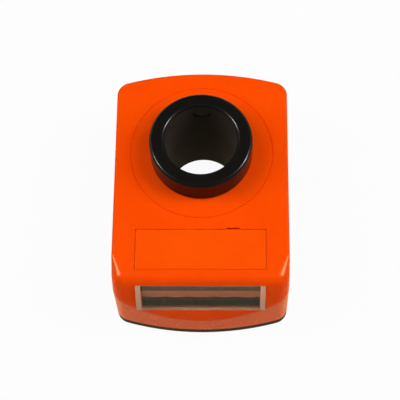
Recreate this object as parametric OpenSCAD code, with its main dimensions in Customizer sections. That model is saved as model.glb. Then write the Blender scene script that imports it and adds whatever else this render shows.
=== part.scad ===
// Mechanical position indicator with a hollow shaft and a five-wheel counter.
// Millimetres. The shaft axis is Z, the back face is z = 0 and the window faces -Y.

/* [Housing] */
// Width across the two flat sides
housing_w = 48; // [48:0.5:52]
// Shaft axis to the middle of the rear face
rear_reach = 24.7; // [24.5:0.1:27]
// Shaft axis to the middle of the front face
front_reach = 43.8; // [43.4:0.1:45]
// Height of the top face above the back face
housing_top = 27; // [26.8:0.1:28]
// Plan radius of the convex front and rear ends
end_r = 80; // [70:1:110]
// Plan radius of the four upright corners
corner_r = 4; // [3.5:0.25:5]
// Rounding of the top edge
edge_r = 2; // [1:0.25:2.5]
// Side and end wall thickness
wall = 2; // [1.7:0.1:2.1]
// Roof thickness
roof_t = 2.3; // [2.1:0.1:2.4]
// Thickness of the black base plate
base_t = 3; // [2.8:0.1:3.2]

/* [Sloping front] */
// Slope of the window face, from the horizontal
slope = 68.5; // [67:0.5:70]
// Height of the slope from its foot to the level of the top face
slope_rise = 15.7; // [15.4:0.1:16]
// Wall thickness behind the slope
slope_wall = 2.4; // [2.2:0.1:2.6]
// Radius where the slope rolls over into the top
roll_r = 3; // [2:0.25:3.25]
// Window width
window_w = 35.2; // [34:0.2:36]
// Window height along the slope
window_h = 10.2; // [9.6:0.1:10.3]
// Foot of the slope to the lower edge of the window
window_s = 4.4; // [4.2:0.1:4.5]
// Bulge of the lens front
lens_bulge = 0.5; // [0.3:0.1:0.7]

/* [Name plate] */
// Plate width
plate_w = 35.2; // [30:0.2:37]
// Plate depth, front to rear
plate_d = 11.4; // [9:0.2:11.6]
// Plate thickness
plate_t = 1.2; // [0.9:0.1:1.3]
// Shaft axis to the rear edge of the plate
plate_rear = 23; // [22.6:0.1:23.2]

/* [Hollow shaft] */
// Spindle bore diameter
bore_d = 20; // [14:0.5:20]
// Collar diameter
collar_d = 28.5; // [28:0.1:29]
// Diameter of the shaft inside the housing
journal_d = 25; // [24.6:0.1:25]
// Height of the collar top above the top face
collar_h = 8.2; // [7.6:0.1:10]
// Chamfer at the collar's edges
collar_chamfer = 1; // [0.5:0.1:1.2]
// Diameter of the fine ring groove on the top face
groove_d = 39.8; // [36:0.2:41]
// Grub screw thread diameter
grub_d = 5; // [4:1:5]

/* [Base] */
// Diameter of the socket for the anti-rotation pin
pin_d = 6; // [5:0.5:6]
// Depth of that socket
pin_depth = 5; // [4:0.25:5]
// Shaft axis to the pin socket
pin_reach = 30; // [28:0.5:31]

/* [Counter] */
// Number wheel diameter
wheel_d = 17; // [16.4:0.1:17]
// Window face to the number wheel axis
wheel_depth = 13; // [12.8:0.1:13.2]
// Number wheel axle diameter
axle_d = 3; // [2.5:0.1:3]
// Carry axle and gear stud diameter
stud_d = 2; // [1.6:0.1:2]
// Thickness of the frame plate that carries the gear studs
gear_plate_t = 1.65; // [1.2:0.05:2]

/* [Gears] */
// Crown gear teeth, four times those of its pinion
crown_teeth = 40; // [32:4:48]
// Radius at the middle of the crown teeth
crown_r = 14.5; // [14.5:0.1:15.5]
// Width of the spur gears
spur_w = 1.6; // [1:0.1:2]
// Tooth thickness as a share of half the pitch
tooth_fill = 0.84; // [0.72:0.02:0.84]

/* [Clearances] */
// Radial clearance of running fits
run_c = 0.04; // [0.02:0.01:0.08]
// Gap between pieces that pass each other
gap = 0.3; // [0.25:0.05:0.35]
// Gap around pieces that drop into a recess
drop_c = 0.1; // [0.05:0.05:0.15]

/* [Hidden] */
$fn = 72;

// Long reach of cutting shapes and the small overlap of joined ones
far = 100;
bite = 0.2;

// Plan outline: corner centres and the centres of the end arcs
corner_x = housing_w / 2 - corner_r;
front_arc_y = end_r - front_reach;
rear_arc_y = rear_reach - end_r;
arc_in_r = end_r - corner_r;
corner_dy = sqrt(pow(arc_in_r, 2) - pow(corner_x, 2));
front_corner_y = front_arc_y - corner_dy;
rear_corner_y = rear_arc_y + corner_dy;
end_angle = asin(corner_x / arc_in_r);
end_steps = 20;
corner_steps = 10;
edge_steps = 5;
roof_z = housing_top - roof_t;

// Sloping front
slope_foot_z = housing_top - slope_rise;
roll_z = housing_top - roll_r;
roll_y = slope_y(roll_z) + roll_r / sin(slope);
window_mid = window_s + window_h / 2;

// Hollow shaft and its bearings
bore_r = bore_d / 2;
collar_r = collar_d / 2;
journal_r = journal_d / 2;
collar_z = housing_top + gap;
collar_top = housing_top + collar_h;
grub_z = (collar_z + collar_top) / 2;
grub_l = collar_r - bore_r - 2 * drop_c;
bush_t = 1.2;
bush_r = journal_r + bush_t;
bush_l = 4;
seal_r = bush_r + gap;
seal_t = 2.2;
seal_z = housing_top - bite - seal_t;
upper_bush_z = seal_z - bush_l;
sleeve_t = 1.8;
sleeve_r = bush_r + sleeve_t;
ring_t = 1;
ring_groove = 0.8;
ring_proud = 1.4;
ring_z = upper_bush_z - gap - ring_t;
flange_t = 0.7;
flange_w = 1.3;
flange_r = bush_r + flange_w;

// Tooth form, as shares of the module or of the tooth's half thickness
tooth_add = 0.72;
tooth_ded = 0.95;
tooth_tip = 0.45;

// Crown gear and its pinion, which lies above it with its axis along X
pinion_teeth = crown_teeth / 4;
crown_m = 2 * crown_r / crown_teeth;
crown_face = 1.8;
crown_out_r = crown_r + crown_face / 2;
crown_z = base_t + flange_t + bite;
crown_t = 2.7;
crown_root_z = crown_z + crown_t;
crown_pitch_z = crown_root_z + tooth_ded * crown_m;
pinion_r = pinion_teeth * crown_m / 2;
transfer_z = crown_pitch_z + pinion_r;

// Counter axes, in the plane across X
wheel_r = wheel_d / 2;
wheel_y = slope_point(window_mid, -wheel_depth)[0];
wheel_z = slope_point(window_mid, -wheel_depth)[1];
ring_teeth = 20;
carry_teeth = 8;
carry_m = 0.7;
carry_reach = (ring_teeth + carry_teeth) * carry_m / 2;
carry_y = wheel_y + carry_reach;
carry_tip_r = (carry_teeth / 2 + tooth_add) * carry_m;

// Spur train on the right: equal end gears with one idler, bowed up a little
spur_teeth = 20;
idler_teeth = 21;
train_bow = 1.0074;
train_l = norm([wheel_y, wheel_z - transfer_z]);
train_angle = atan2(wheel_z - transfer_z, wheel_y);
spur_m = train_bow * train_l / (spur_teeth + idler_teeth);
bow_angle = acos(1 / train_bow);
idler_angle = train_angle - bow_angle;
idler_back = train_angle + bow_angle;
idler_reach = train_bow * train_l / 2;
idler_y = idler_reach * cos(idler_angle);
idler_z = transfer_z + idler_reach * sin(idler_angle);
idler_phase = mesh_phase(idler_angle, spur_teeth, idler_teeth, 0);
drive_phase = mesh_phase(idler_back, idler_teeth, spur_teeth, idler_phase);

// Places along X, from the right side wall inward
cheek_t = 1.3;
gear_plate_out = housing_w / 2 - wall - gap;
gear_plate_x = gear_plate_out - gear_plate_t;
spur_x = gear_plate_x - gap - spur_w;
cheek_x = spur_x - gap - cheek_t;
head_t = 0.6;
pinion_x = journal_r + head_t + 2 * gap;
pinion_w = crown_out_r + bite - pinion_x;

// Number wheels, which share the room between the cheeks
wheel_count = 5;
wheel_pitch = 2 * (cheek_x - gap) / wheel_count;
wheel_w = wheel_pitch - bite;
disc_w = 0.8;
gear_w = 1.2;
drum_x = disc_w - wheel_w / 2;
drum_w = wheel_w - disc_w - gear_w;
carry_w = disc_w + gear_w - bite;

// Frame outline
frame_floor_t = 1.6;
frame_nose = 4.8;
frame_tail = 2.4;
frame_crest = 3.5;
frame_front = frame_nose - wheel_y;
frame_rear = -carry_y - frame_tail;
frame_h = wheel_z + frame_crest;
frame_tongue = 15.5;
crown_room = crown_out_r + 2 * gap;
frame_screw_x = 12.5;
frame_screw_reach = 6.6;
frame_screw_y = wheel_y - frame_screw_reach;
foot_r = 2.2;
foot_h = 4;
foot_x = gear_plate_out - foot_r;
foot_y = (spur_teeth / 2 + tooth_add) * spur_m + foot_r + gap;

// Screws: places, sizes and bosses
screw_d = 2.2;
screw_r = screw_d / 2;
head_r = 2.1;
cover_rear = [corner_x - head_r - gap, rear_corner_y - head_r - gap];
cover_front_in = [0.8, 0.7];
cover_front = [corner_x - cover_front_in[0], front_corner_y + cover_front_in[1]];
cover_rear_l = 9;
cover_front_l = 6.6;
post_r = 2.9;
front_post_z = 7.4;
frame_screw_l = 6.2;
frame_boss_z = 6.8;
socket_wall = 1.6;

// Point of the slope's line at height z
function slope_y(z) = -front_reach + (z - slope_foot_z) / tan(slope);

// Point [y, z] at a distance up the slope and a distance out of it
function slope_point(up, out) = [
    -front_reach + up * cos(slope) - out * sin(slope),
    slope_foot_z + up * sin(slope) + out * cos(slope)
];

// Point at a radius and an angle
function polar(r, angle) = [r * cos(angle), r * sin(angle)];

// Points of an arc without its last one, about a centre
function arc_points(centre, r, from, to, steps) =
    [for (i = [0 : steps - 1]) centre + polar(r, from + (to - from) * i / steps)];

// Plan outline of the housing, moved inward by an inset
function outline_points(inset) =
    let (end = end_r - inset, corner = corner_r - inset, turn = 90 - end_angle)
    concat(
        arc_points([0, front_arc_y], end, -90 - end_angle, end_angle - 90, end_steps),
        arc_points([corner_x, front_corner_y], corner, -turn, 0, corner_steps),
        arc_points([corner_x, rear_corner_y], corner, 0, turn, corner_steps),
        arc_points([0, rear_arc_y], end, turn, 180 - turn, end_steps),
        arc_points([-corner_x, rear_corner_y], corner, 180 - turn, 180, corner_steps),
        arc_points([-corner_x, front_corner_y], corner, 180, 180 + turn, corner_steps)
    );

// Tooth phase of gear 2, which lies at an angle from gear 1, so that the two mesh
function mesh_phase(angle, teeth_1, teeth_2, phase_1) =
    angle + 180 + (angle - phase_1) * teeth_1 / teeth_2 - 180 / teeth_2;

// Outline of a spur gear with a tooth centred at the phase angle
function gear_points(teeth, m, phase) =
    let (r = teeth * m / 2, half = 90 / teeth * tooth_fill)
    [for (i = [0 : teeth - 1], corner = tooth_corners(r, m, half))
        polar(corner[0], phase + i * 360 / teeth + corner[1])];

// Corners of one tooth, each a radius and an angle
function tooth_corners(r, m, half) = [
    [r - tooth_ded * m, -half],
    [r, -half],
    [r + tooth_add * m, -half * tooth_tip],
    [r + tooth_add * m, half * tooth_tip],
    [r, half],
    [r - tooth_ded * m, half]
];

// Children drawn in the plane [y, z] and extruded along X from x
module along_x(x, length) {
    translate([x, 0, 0])
        rotate([90, 0, 90])
            linear_extrude(length)
                children();
}

// Children placed on the slope: y up the slope, z out of it
module on_slope() {
    translate([0, -front_reach, slope_foot_z])
        rotate([slope, 0, 0])
            children();
}

// Solid with the housing's plan outline, moved inward by an inset
module outline_block(inset, z0, z1) {
    translate([0, 0, z0])
        linear_extrude(z1 - z0)
            polygon(outline_points(inset));
}

// The same solid with its top edge rounded
module rounded_block(z0, z1, edge) {
    slice = 0.01;
    hull() {
        outline_block(0, z0, z1 - edge);
        for (step = [1 : edge_steps]) {
            angle = 90 * step / edge_steps;
            z = z1 - edge + edge * sin(angle);
            outline_block(edge * (1 - cos(angle)), z - slice, z);
        }
    }
}

// What the sloping front takes off the block, up to the roll-over
module slope_cut() {
    along_x(-far / 2, far)
        difference() {
            polygon([
                [slope_y(0), 0],
                [roll_y - roll_r * sin(slope), roll_z + roll_r * cos(slope)],
                [roll_y, housing_top],
                [roll_y, far],
                [-far, far],
                [-far, 0]
            ]);
            translate([roll_y, roll_z])
                circle(roll_r);
        }
}

// Inside of the housing, kept behind the wall of the slope
module cavity() {
    set_back = slope_wall / sin(slope);
    difference() {
        outline_block(wall, base_t - bite, roof_z);
        along_x(-far / 2, far)
            polygon([
                [slope_y(0) + set_back, 0],
                [slope_y(far) + set_back, far],
                [-far, far],
                [-far, 0]
            ]);
    }
}

// Ring about the shaft axis
module ring(r_in, r_out, z0, z1) {
    translate([0, 0, z0])
        difference() {
            cylinder(r = r_out, h = z1 - z0);
            translate([0, 0, -bite])
                cylinder(r = r_in, h = z1 - z0 + 2 * bite);
        }
}

// Recess that takes the name plate, with the pry notch at its rear edge
module plate_recess() {
    notch_w = 3.5;
    notch_d = 0.5;
    notch_x = plate_w / 4;
    translate([-plate_w / 2 - drop_c, -plate_rear - plate_d - drop_c, housing_top - plate_t])
        cube([plate_w + 2 * drop_c, plate_d + 2 * drop_c, far]);
    translate([notch_x - notch_w / 2, -plate_rear - bite, housing_top - plate_t])
        cube([notch_w, notch_d + bite, far]);
}

module housing() {
    groove_w = 0.5;
    groove_t = 0.25;
    color("orangered")
        difference() {
            union() {
                difference() {
                    rounded_block(base_t, housing_top, edge_r);
                    slope_cut();
                    cavity();
                }
                translate([0, 0, upper_bush_z])
                    cylinder(r = sleeve_r, h = roof_z - upper_bush_z + bite);
                for (side = [-1, 1]) {
                    translate([side * cover_rear[0], cover_rear[1], base_t])
                        cylinder(r = post_r, h = roof_z - base_t + bite);
                    translate([side * cover_front[0], cover_front[1], base_t])
                        cylinder(r = post_r, h = front_post_z - base_t);
                }
            }
            translate([0, 0, upper_bush_z - bite])
                cylinder(r = bush_r, h = far);
            translate([0, 0, seal_z])
                cylinder(r = seal_r, h = far);
            ring(groove_d / 2 - groove_w, groove_d / 2, housing_top - groove_t, far);
            plate_recess();
            on_slope()
                translate([-window_w / 2, window_s, -far / 4])
                    cube([window_w, window_h, far / 2]);
            lens_flange(drop_c);
            for (side = [-1, 1]) {
                translate([side * cover_rear[0], cover_rear[1], 0])
                    cylinder(r = screw_r, h = cover_rear_l);
                translate([side * cover_front[0], cover_front[1], 0])
                    cylinder(r = screw_r, h = cover_front_l);
            }
        }
}

module name_plate() {
    color("orangered")
        translate([-plate_w / 2, -plate_rear - plate_d, housing_top - plate_t])
            cube([plate_w, plate_d, plate_t]);
}

// Flange behind the window that holds the lens, grown for its pocket in the housing
module lens_flange(grow) {
    lip_side = 1.2;
    lip_top = 0.4;
    lip_t = 1;
    on_slope()
        translate([-window_w / 2 - lip_side - grow, window_s - lip_side - grow, -slope_wall - lip_t - grow])
            cube([window_w + 2 * (lip_side + grow), window_h + lip_side + lip_top + 2 * grow, lip_t + grow]);
}

module window_lens() {
    bulge_r = (pow(window_h / 2, 2) + pow(lens_bulge, 2)) / (2 * lens_bulge);
    color("gainsboro") {
        lens_flange(0);
        on_slope() {
            translate([-window_w / 2 + drop_c, window_s + drop_c, -slope_wall - bite])
                cube([window_w - 2 * drop_c, window_h - 2 * drop_c, slope_wall + bite]);
            intersection() {
                translate([-window_w / 2 + drop_c, window_mid, lens_bulge - bulge_r])
                    rotate([0, 90, 0])
                        cylinder(r = bulge_r, h = window_w - 2 * drop_c);
                translate([-window_w / 2, window_s + drop_c, -bite])
                    cube([window_w, window_h - 2 * drop_c, far]);
            }
        }
    }
}

module base_plate() {
    cap_t = 1.2;
    color("black")
        difference() {
            union() {
                outline_block(0, 0, base_t);
                translate([0, -pin_reach, base_t - bite])
                    cylinder(r = pin_d / 2 + socket_wall, h = pin_depth + cap_t - base_t + bite);
            }
            translate([0, 0, -bite])
                cylinder(r = bush_r, h = far);
            translate([0, -pin_reach, -bite])
                cylinder(r = pin_d / 2, h = pin_depth + bite);
            for (side = [-1, 1]) {
                countersunk_hole([side * cover_rear[0], cover_rear[1]]);
                countersunk_hole([side * cover_front[0], cover_front[1]]);
                countersunk_hole([side * frame_screw_x, frame_screw_y]);
            }
            countersunk_hole([foot_x, foot_y]);
            wheel_room();
        }
}

// Screw hole through the base plate, countersunk from the back face
module countersunk_hole(place) {
    translate([place[0], place[1], 0]) {
        translate([0, 0, -bite])
            cylinder(r = screw_r, h = base_t + 2 * bite);
        cylinder(r1 = head_r, r2 = screw_r, h = head_r - screw_r);
    }
}

// Countersunk screw from the back face up to a height, with a cross recess
module screw(place, length) {
    recess_w = 0.6;
    recess_l = 2.4;
    recess_t = 0.7;
    translate([place[0], place[1], 0])
        difference() {
            union() {
                cylinder(r1 = head_r, r2 = screw_r, h = head_r - screw_r);
                translate([0, 0, head_r - screw_r])
                    cylinder(r = screw_r, h = length - head_r + screw_r);
            }
            for (turn = [0, 90])
                rotate(turn)
                    translate([-recess_l / 2, -recess_w / 2, -bite])
                        cube([recess_l, recess_w, recess_t + bite]);
        }
}

module cover_screws() {
    color("silver")
        for (side = [-1, 1]) {
            screw([side * cover_rear[0], cover_rear[1]], cover_rear_l);
            screw([side * cover_front[0], cover_front[1]], cover_front_l);
        }
}

module hollow_shaft() {
    color("dimgray")
        difference() {
            rotate_extrude()
                polygon([
                    [bore_r, 0],
                    [journal_r, 0],
                    [journal_r, ring_z],
                    [journal_r - ring_groove, ring_z],
                    [journal_r - ring_groove, ring_z + ring_t],
                    [journal_r, ring_z + ring_t],
                    [journal_r, collar_z],
                    [collar_r, collar_z],
                    [collar_r, collar_top - collar_chamfer],
                    [collar_r - collar_chamfer, collar_top],
                    [bore_r + collar_chamfer, collar_top],
                    [bore_r, collar_top - collar_chamfer]
                ]);
            translate([0, 0, grub_z])
                rotate([-90, 0, 0])
                    cylinder(d = grub_d, h = far);
        }
}

module grub_screw() {
    hex_d = grub_d / 2;
    hex_t = grub_l / 2;
    color("dimgray")
        translate([0, bore_r + drop_c, grub_z])
            rotate([-90, 0, 0])
                difference() {
                    cylinder(r = grub_d / 2 - run_c, h = grub_l);
                    translate([0, 0, grub_l - hex_t])
                        cylinder(d = hex_d, h = far, $fn = 6);
                }
}

module retaining_ring() {
    ring_slot = 6;
    color("silver")
        difference() {
            ring(journal_r - ring_groove, journal_r + ring_proud, ring_z, ring_z + ring_t);
            translate([-ring_slot / 2, 0, 0])
                cube([ring_slot, far, far]);
        }
}

module crown_gear() {
    pitch = 360 / crown_teeth;
    tooth_half = PI * crown_m / 4 * tooth_fill;
    tooth_h = (tooth_add + tooth_ded) * crown_m;
    color("ivory") {
        ring(journal_r, crown_out_r, crown_z, crown_root_z);
        for (i = [0 : crown_teeth - 1])
            rotate((i + 0.5) * pitch)
                along_x(crown_r - crown_face / 2, crown_face)
                    translate([0, crown_root_z])
                        polygon([
                            [-tooth_half, -bite],
                            [tooth_half, -bite],
                            [tooth_half, tooth_ded * crown_m],
                            [tooth_half * tooth_tip, tooth_h],
                            [-tooth_half * tooth_tip, tooth_h],
                            [-tooth_half, tooth_ded * crown_m]
                        ]);
    }
}

module upper_bush() {
    color("goldenrod")
        ring(journal_r + run_c, bush_r, upper_bush_z, seal_z);
}

module shaft_seal() {
    color("black")
        ring(journal_r + run_c, seal_r, seal_z, seal_z + seal_t);
}

module lower_bush() {
    color("goldenrod") {
        ring(journal_r + run_c, bush_r, bite, base_t + bite);
        ring(journal_r + run_c, flange_r, base_t, base_t + flange_t);
    }
}

// Spur gear about an axis along X, with a running or a pressed bore
module spur_gear(teeth, m, phase, place, x, width, bore) {
    translate([0, place[0], place[1]])
        along_x(x, width)
            difference() {
                polygon(gear_points(teeth, m, phase));
                circle(bore);
            }
}

// Tube about an axis along X
module tube_x(r_in, r_out, place, x, width) {
    translate([0, place[0], place[1]])
        along_x(x, width)
            difference() {
                circle(r_out);
                circle(r_in);
            }
}

// Pin about an axis along X
module pin_x(r, place, x, width) {
    translate([0, place[0], place[1]])
        along_x(x, width)
            circle(r);
}

module transfer_gear() {
    place = [0, transfer_z];
    bore = stud_d / 2 + run_c;
    neck_t = 1.2;
    color("ivory") {
        spur_gear(pinion_teeth, crown_m, -90, place, pinion_x, pinion_w, bore);
        tube_x(bore, bore + neck_t, place, pinion_x + bite, spur_x - pinion_x);
        spur_gear(spur_teeth, spur_m, 0, place, spur_x, spur_w, bore);
    }
}

module transfer_stud() {
    place = [0, transfer_z];
    head_x = pinion_x - gap - head_t;
    color("silver") {
        pin_x(stud_d / 2, place, head_x + bite, gear_plate_out - head_x - bite);
        pin_x(stud_d / 2 + head_t, place, head_x, head_t);
    }
}

module idler_gear() {
    color("ivory")
        spur_gear(idler_teeth, spur_m, idler_phase, [idler_y, idler_z], spur_x, spur_w, stud_d / 2 + run_c);
}

module idler_stud() {
    place = [idler_y, idler_z];
    head_x = spur_x - gap - head_t;
    color("silver") {
        pin_x(stud_d / 2, place, head_x + bite, gear_plate_out - head_x - bite);
        pin_x(stud_d / 2 + head_t, place, head_x, head_t);
    }
}

// Room in which the number wheels turn
module wheel_room() {
    span = wheel_count * wheel_pitch;
    pin_x(wheel_r + gap, [wheel_y, wheel_z], -span / 2, span);
}

// Upright plate of the counter frame, in the plane [y, z]
module frame_cheek() {
    translate([-frame_front, base_t])
        square([frame_front - frame_rear, frame_h - base_t]);
}

// Floor of the counter frame, clear of the crown gear and the pin socket
module frame_floor() {
    boss_room = pin_d / 2 + socket_wall + gap;
    translate([0, 0, base_t])
        linear_extrude(frame_floor_t)
            difference() {
                union() {
                    translate([-cheek_x - cheek_t, -frame_front])
                        square([cheek_x + cheek_t + gear_plate_out, frame_front - frame_rear]);
                    translate([-frame_tongue, frame_screw_y - head_r])
                        square([2 * frame_tongue, -frame_rear - frame_screw_y + head_r]);
                }
                circle(crown_room);
                translate([0, -pin_reach])
                    circle(boss_room);
            }
}

module counter_frame() {
    plate_rise = 3;
    color("dimgray")
        difference() {
            union() {
                frame_floor();
                along_x(-cheek_x - cheek_t, cheek_t)
                    frame_cheek();
                along_x(cheek_x, cheek_t)
                    frame_cheek();
                along_x(gear_plate_x, gear_plate_t) {
                    translate([-frame_front, base_t])
                        square([frame_front + plate_rise, idler_z + plate_rise - base_t]);
                    translate([0, base_t])
                        square([foot_y, foot_h]);
                }
                translate([foot_x, foot_y, base_t])
                    cylinder(r = foot_r, h = foot_h);
                for (side = [-1, 1])
                    translate([side * frame_screw_x, frame_screw_y, base_t])
                        cylinder(r = head_r, h = frame_boss_z - base_t);
            }
            pin_x(axle_d / 2 + run_c, [wheel_y, wheel_z], -far / 2, far);
            pin_x(stud_d / 2, [carry_y, wheel_z], -far / 2, far / 2 + spur_x);
            pin_x(stud_d / 2, [0, transfer_z], gear_plate_x - bite, far);
            pin_x(stud_d / 2, [idler_y, idler_z], gear_plate_x - bite, far);
            for (side = [-1, 1])
                translate([side * frame_screw_x, frame_screw_y, 0])
                    cylinder(r = screw_r, h = frame_screw_l);
            translate([foot_x, foot_y, 0])
                cylinder(r = screw_r, h = frame_screw_l);
            wheel_room();
        }
}

module frame_screws() {
    color("silver") {
        for (side = [-1, 1])
            screw([side * frame_screw_x, frame_screw_y], frame_screw_l);
        screw([foot_x, foot_y], frame_screw_l);
    }
}

module wheel_axle() {
    color("silver")
        pin_x(axle_d / 2, [wheel_y, wheel_z], -cheek_x - cheek_t, cheek_x + cheek_t + gear_plate_out);
}

module carry_axle() {
    color("silver")
        pin_x(stud_d / 2, [carry_y, wheel_z], -cheek_x - cheek_t, 2 * (cheek_x + cheek_t));
}

module drive_gear() {
    color("ivory")
        spur_gear(spur_teeth, spur_m, drive_phase, [wheel_y, wheel_z], spur_x, spur_w, axle_d / 2);
}

// Middle of a number wheel along X, counted from the left
function wheel_x(index) = (index - (wheel_count + 1) / 2) * wheel_pitch;

// Number wheel: a drum with a carry disc on its left and a ring gear on its right
module number_wheel(index) {
    place = [wheel_y, wheel_z];
    rim_t = 1.1;
    web_t = 1.2;
    disc_r = carry_reach - carry_tip_r - 2 * gap;
    tooth_h = gap;
    tooth_w = 0.7;
    first = index == 1;
    last = index == wheel_count;
    bore = last ? axle_d / 2 : axle_d / 2 + run_c;
    x = wheel_x(index);
    groove_w = drum_w - web_t;
    color(last ? "firebrick" : "black") {
        tube_x(wheel_r - rim_t, wheel_r, place, x + drum_x, drum_w);
        tube_x(bore, wheel_r, place, x + drum_x + groove_w, web_t);
        tube_x(bore, disc_r, place, x - wheel_w / 2, disc_w + groove_w + bite);
        if (!first)
            for (tooth = [-1, 1])
                translate([0, place[0], place[1]])
                    along_x(x - wheel_w / 2, disc_w)
                        translate([-disc_r - tooth_h, tooth * tooth_w - tooth_w / 2])
                            square([disc_r / 2, tooth_w]);
        if (!last)
            spur_gear(ring_teeth, carry_m, 0, place, x + drum_x + drum_w - bite, gear_w + bite, bore);
    }
}

module number_wheel_1() number_wheel(1);
module number_wheel_2() number_wheel(2);
module number_wheel_3() number_wheel(3);
module number_wheel_4() number_wheel(4);
module number_wheel_5() number_wheel(5);

// Carry pinion in the space between number wheels index and index + 1
module carry_pinion(index) {
    phase = mesh_phase(0, ring_teeth, carry_teeth, 0);
    x = wheel_x(index) + drum_x + drum_w + bite;
    color("ivory")
        spur_gear(carry_teeth, carry_m, phase, [carry_y, wheel_z], x, carry_w, stud_d / 2 + run_c);
}

module carry_pinion_1() carry_pinion(1);
module carry_pinion_2() carry_pinion(2);
module carry_pinion_3() carry_pinion(3);
module carry_pinion_4() carry_pinion(4);

housing();
name_plate();
window_lens();
base_plate();
cover_screws();
hollow_shaft();
grub_screw();
retaining_ring();
crown_gear();
upper_bush();
shaft_seal();
lower_bush();
transfer_gear();
transfer_stud();
idler_gear();
idler_stud();
counter_frame();
frame_screws();
wheel_axle();
drive_gear();
carry_axle();
number_wheel_1();
number_wheel_2();
number_wheel_3();
number_wheel_4();
number_wheel_5();
carry_pinion_1();
carry_pinion_2();
carry_pinion_3();
carry_pinion_4();
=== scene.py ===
"""Looks of the hollow-shaft position indicator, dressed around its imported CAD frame."""

import logging
import math
from collections.abc import Callable
from dataclasses import dataclass
from enum import Enum

import bmesh
import bpy
from mathutils import Matrix, Vector


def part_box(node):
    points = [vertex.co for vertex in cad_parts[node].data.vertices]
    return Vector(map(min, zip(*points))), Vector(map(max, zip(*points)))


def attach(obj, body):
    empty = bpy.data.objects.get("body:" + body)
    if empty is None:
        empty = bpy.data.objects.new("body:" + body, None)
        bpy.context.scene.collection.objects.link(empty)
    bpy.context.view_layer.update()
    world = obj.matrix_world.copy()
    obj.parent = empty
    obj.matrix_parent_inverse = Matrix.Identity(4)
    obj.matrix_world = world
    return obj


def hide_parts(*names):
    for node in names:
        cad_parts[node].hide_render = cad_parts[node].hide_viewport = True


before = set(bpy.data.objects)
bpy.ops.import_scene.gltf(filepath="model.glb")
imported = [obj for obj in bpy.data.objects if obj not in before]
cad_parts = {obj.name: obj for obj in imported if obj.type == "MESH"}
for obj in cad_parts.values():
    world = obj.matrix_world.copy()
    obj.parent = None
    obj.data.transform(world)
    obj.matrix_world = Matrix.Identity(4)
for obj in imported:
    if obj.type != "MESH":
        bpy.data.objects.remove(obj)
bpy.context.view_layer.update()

LOG = logging.getLogger("position_indicator")
Pair = tuple[float, float]
Triple = tuple[float, float, float]

# Pieces are modelled in millimetres and delivered in metres
MM = 0.001
# Distances at which corners are one, at which leftovers of a cut go, and at which a place counts as met
WELD = 1e-5
CLEAN = 1e-4
NEAR = 0.01
# Angle in radians over which an edge counts as a corner
SHARP = 0.4


class Pattern(Enum):
    """Ways in which a surface was made, which shape its relief."""

    MOULDED = "moulded"
    TURNED = "turned"
    DRAWN = "drawn"
    SINTERED = "sintered"
    PRINTED = "printed"


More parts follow.
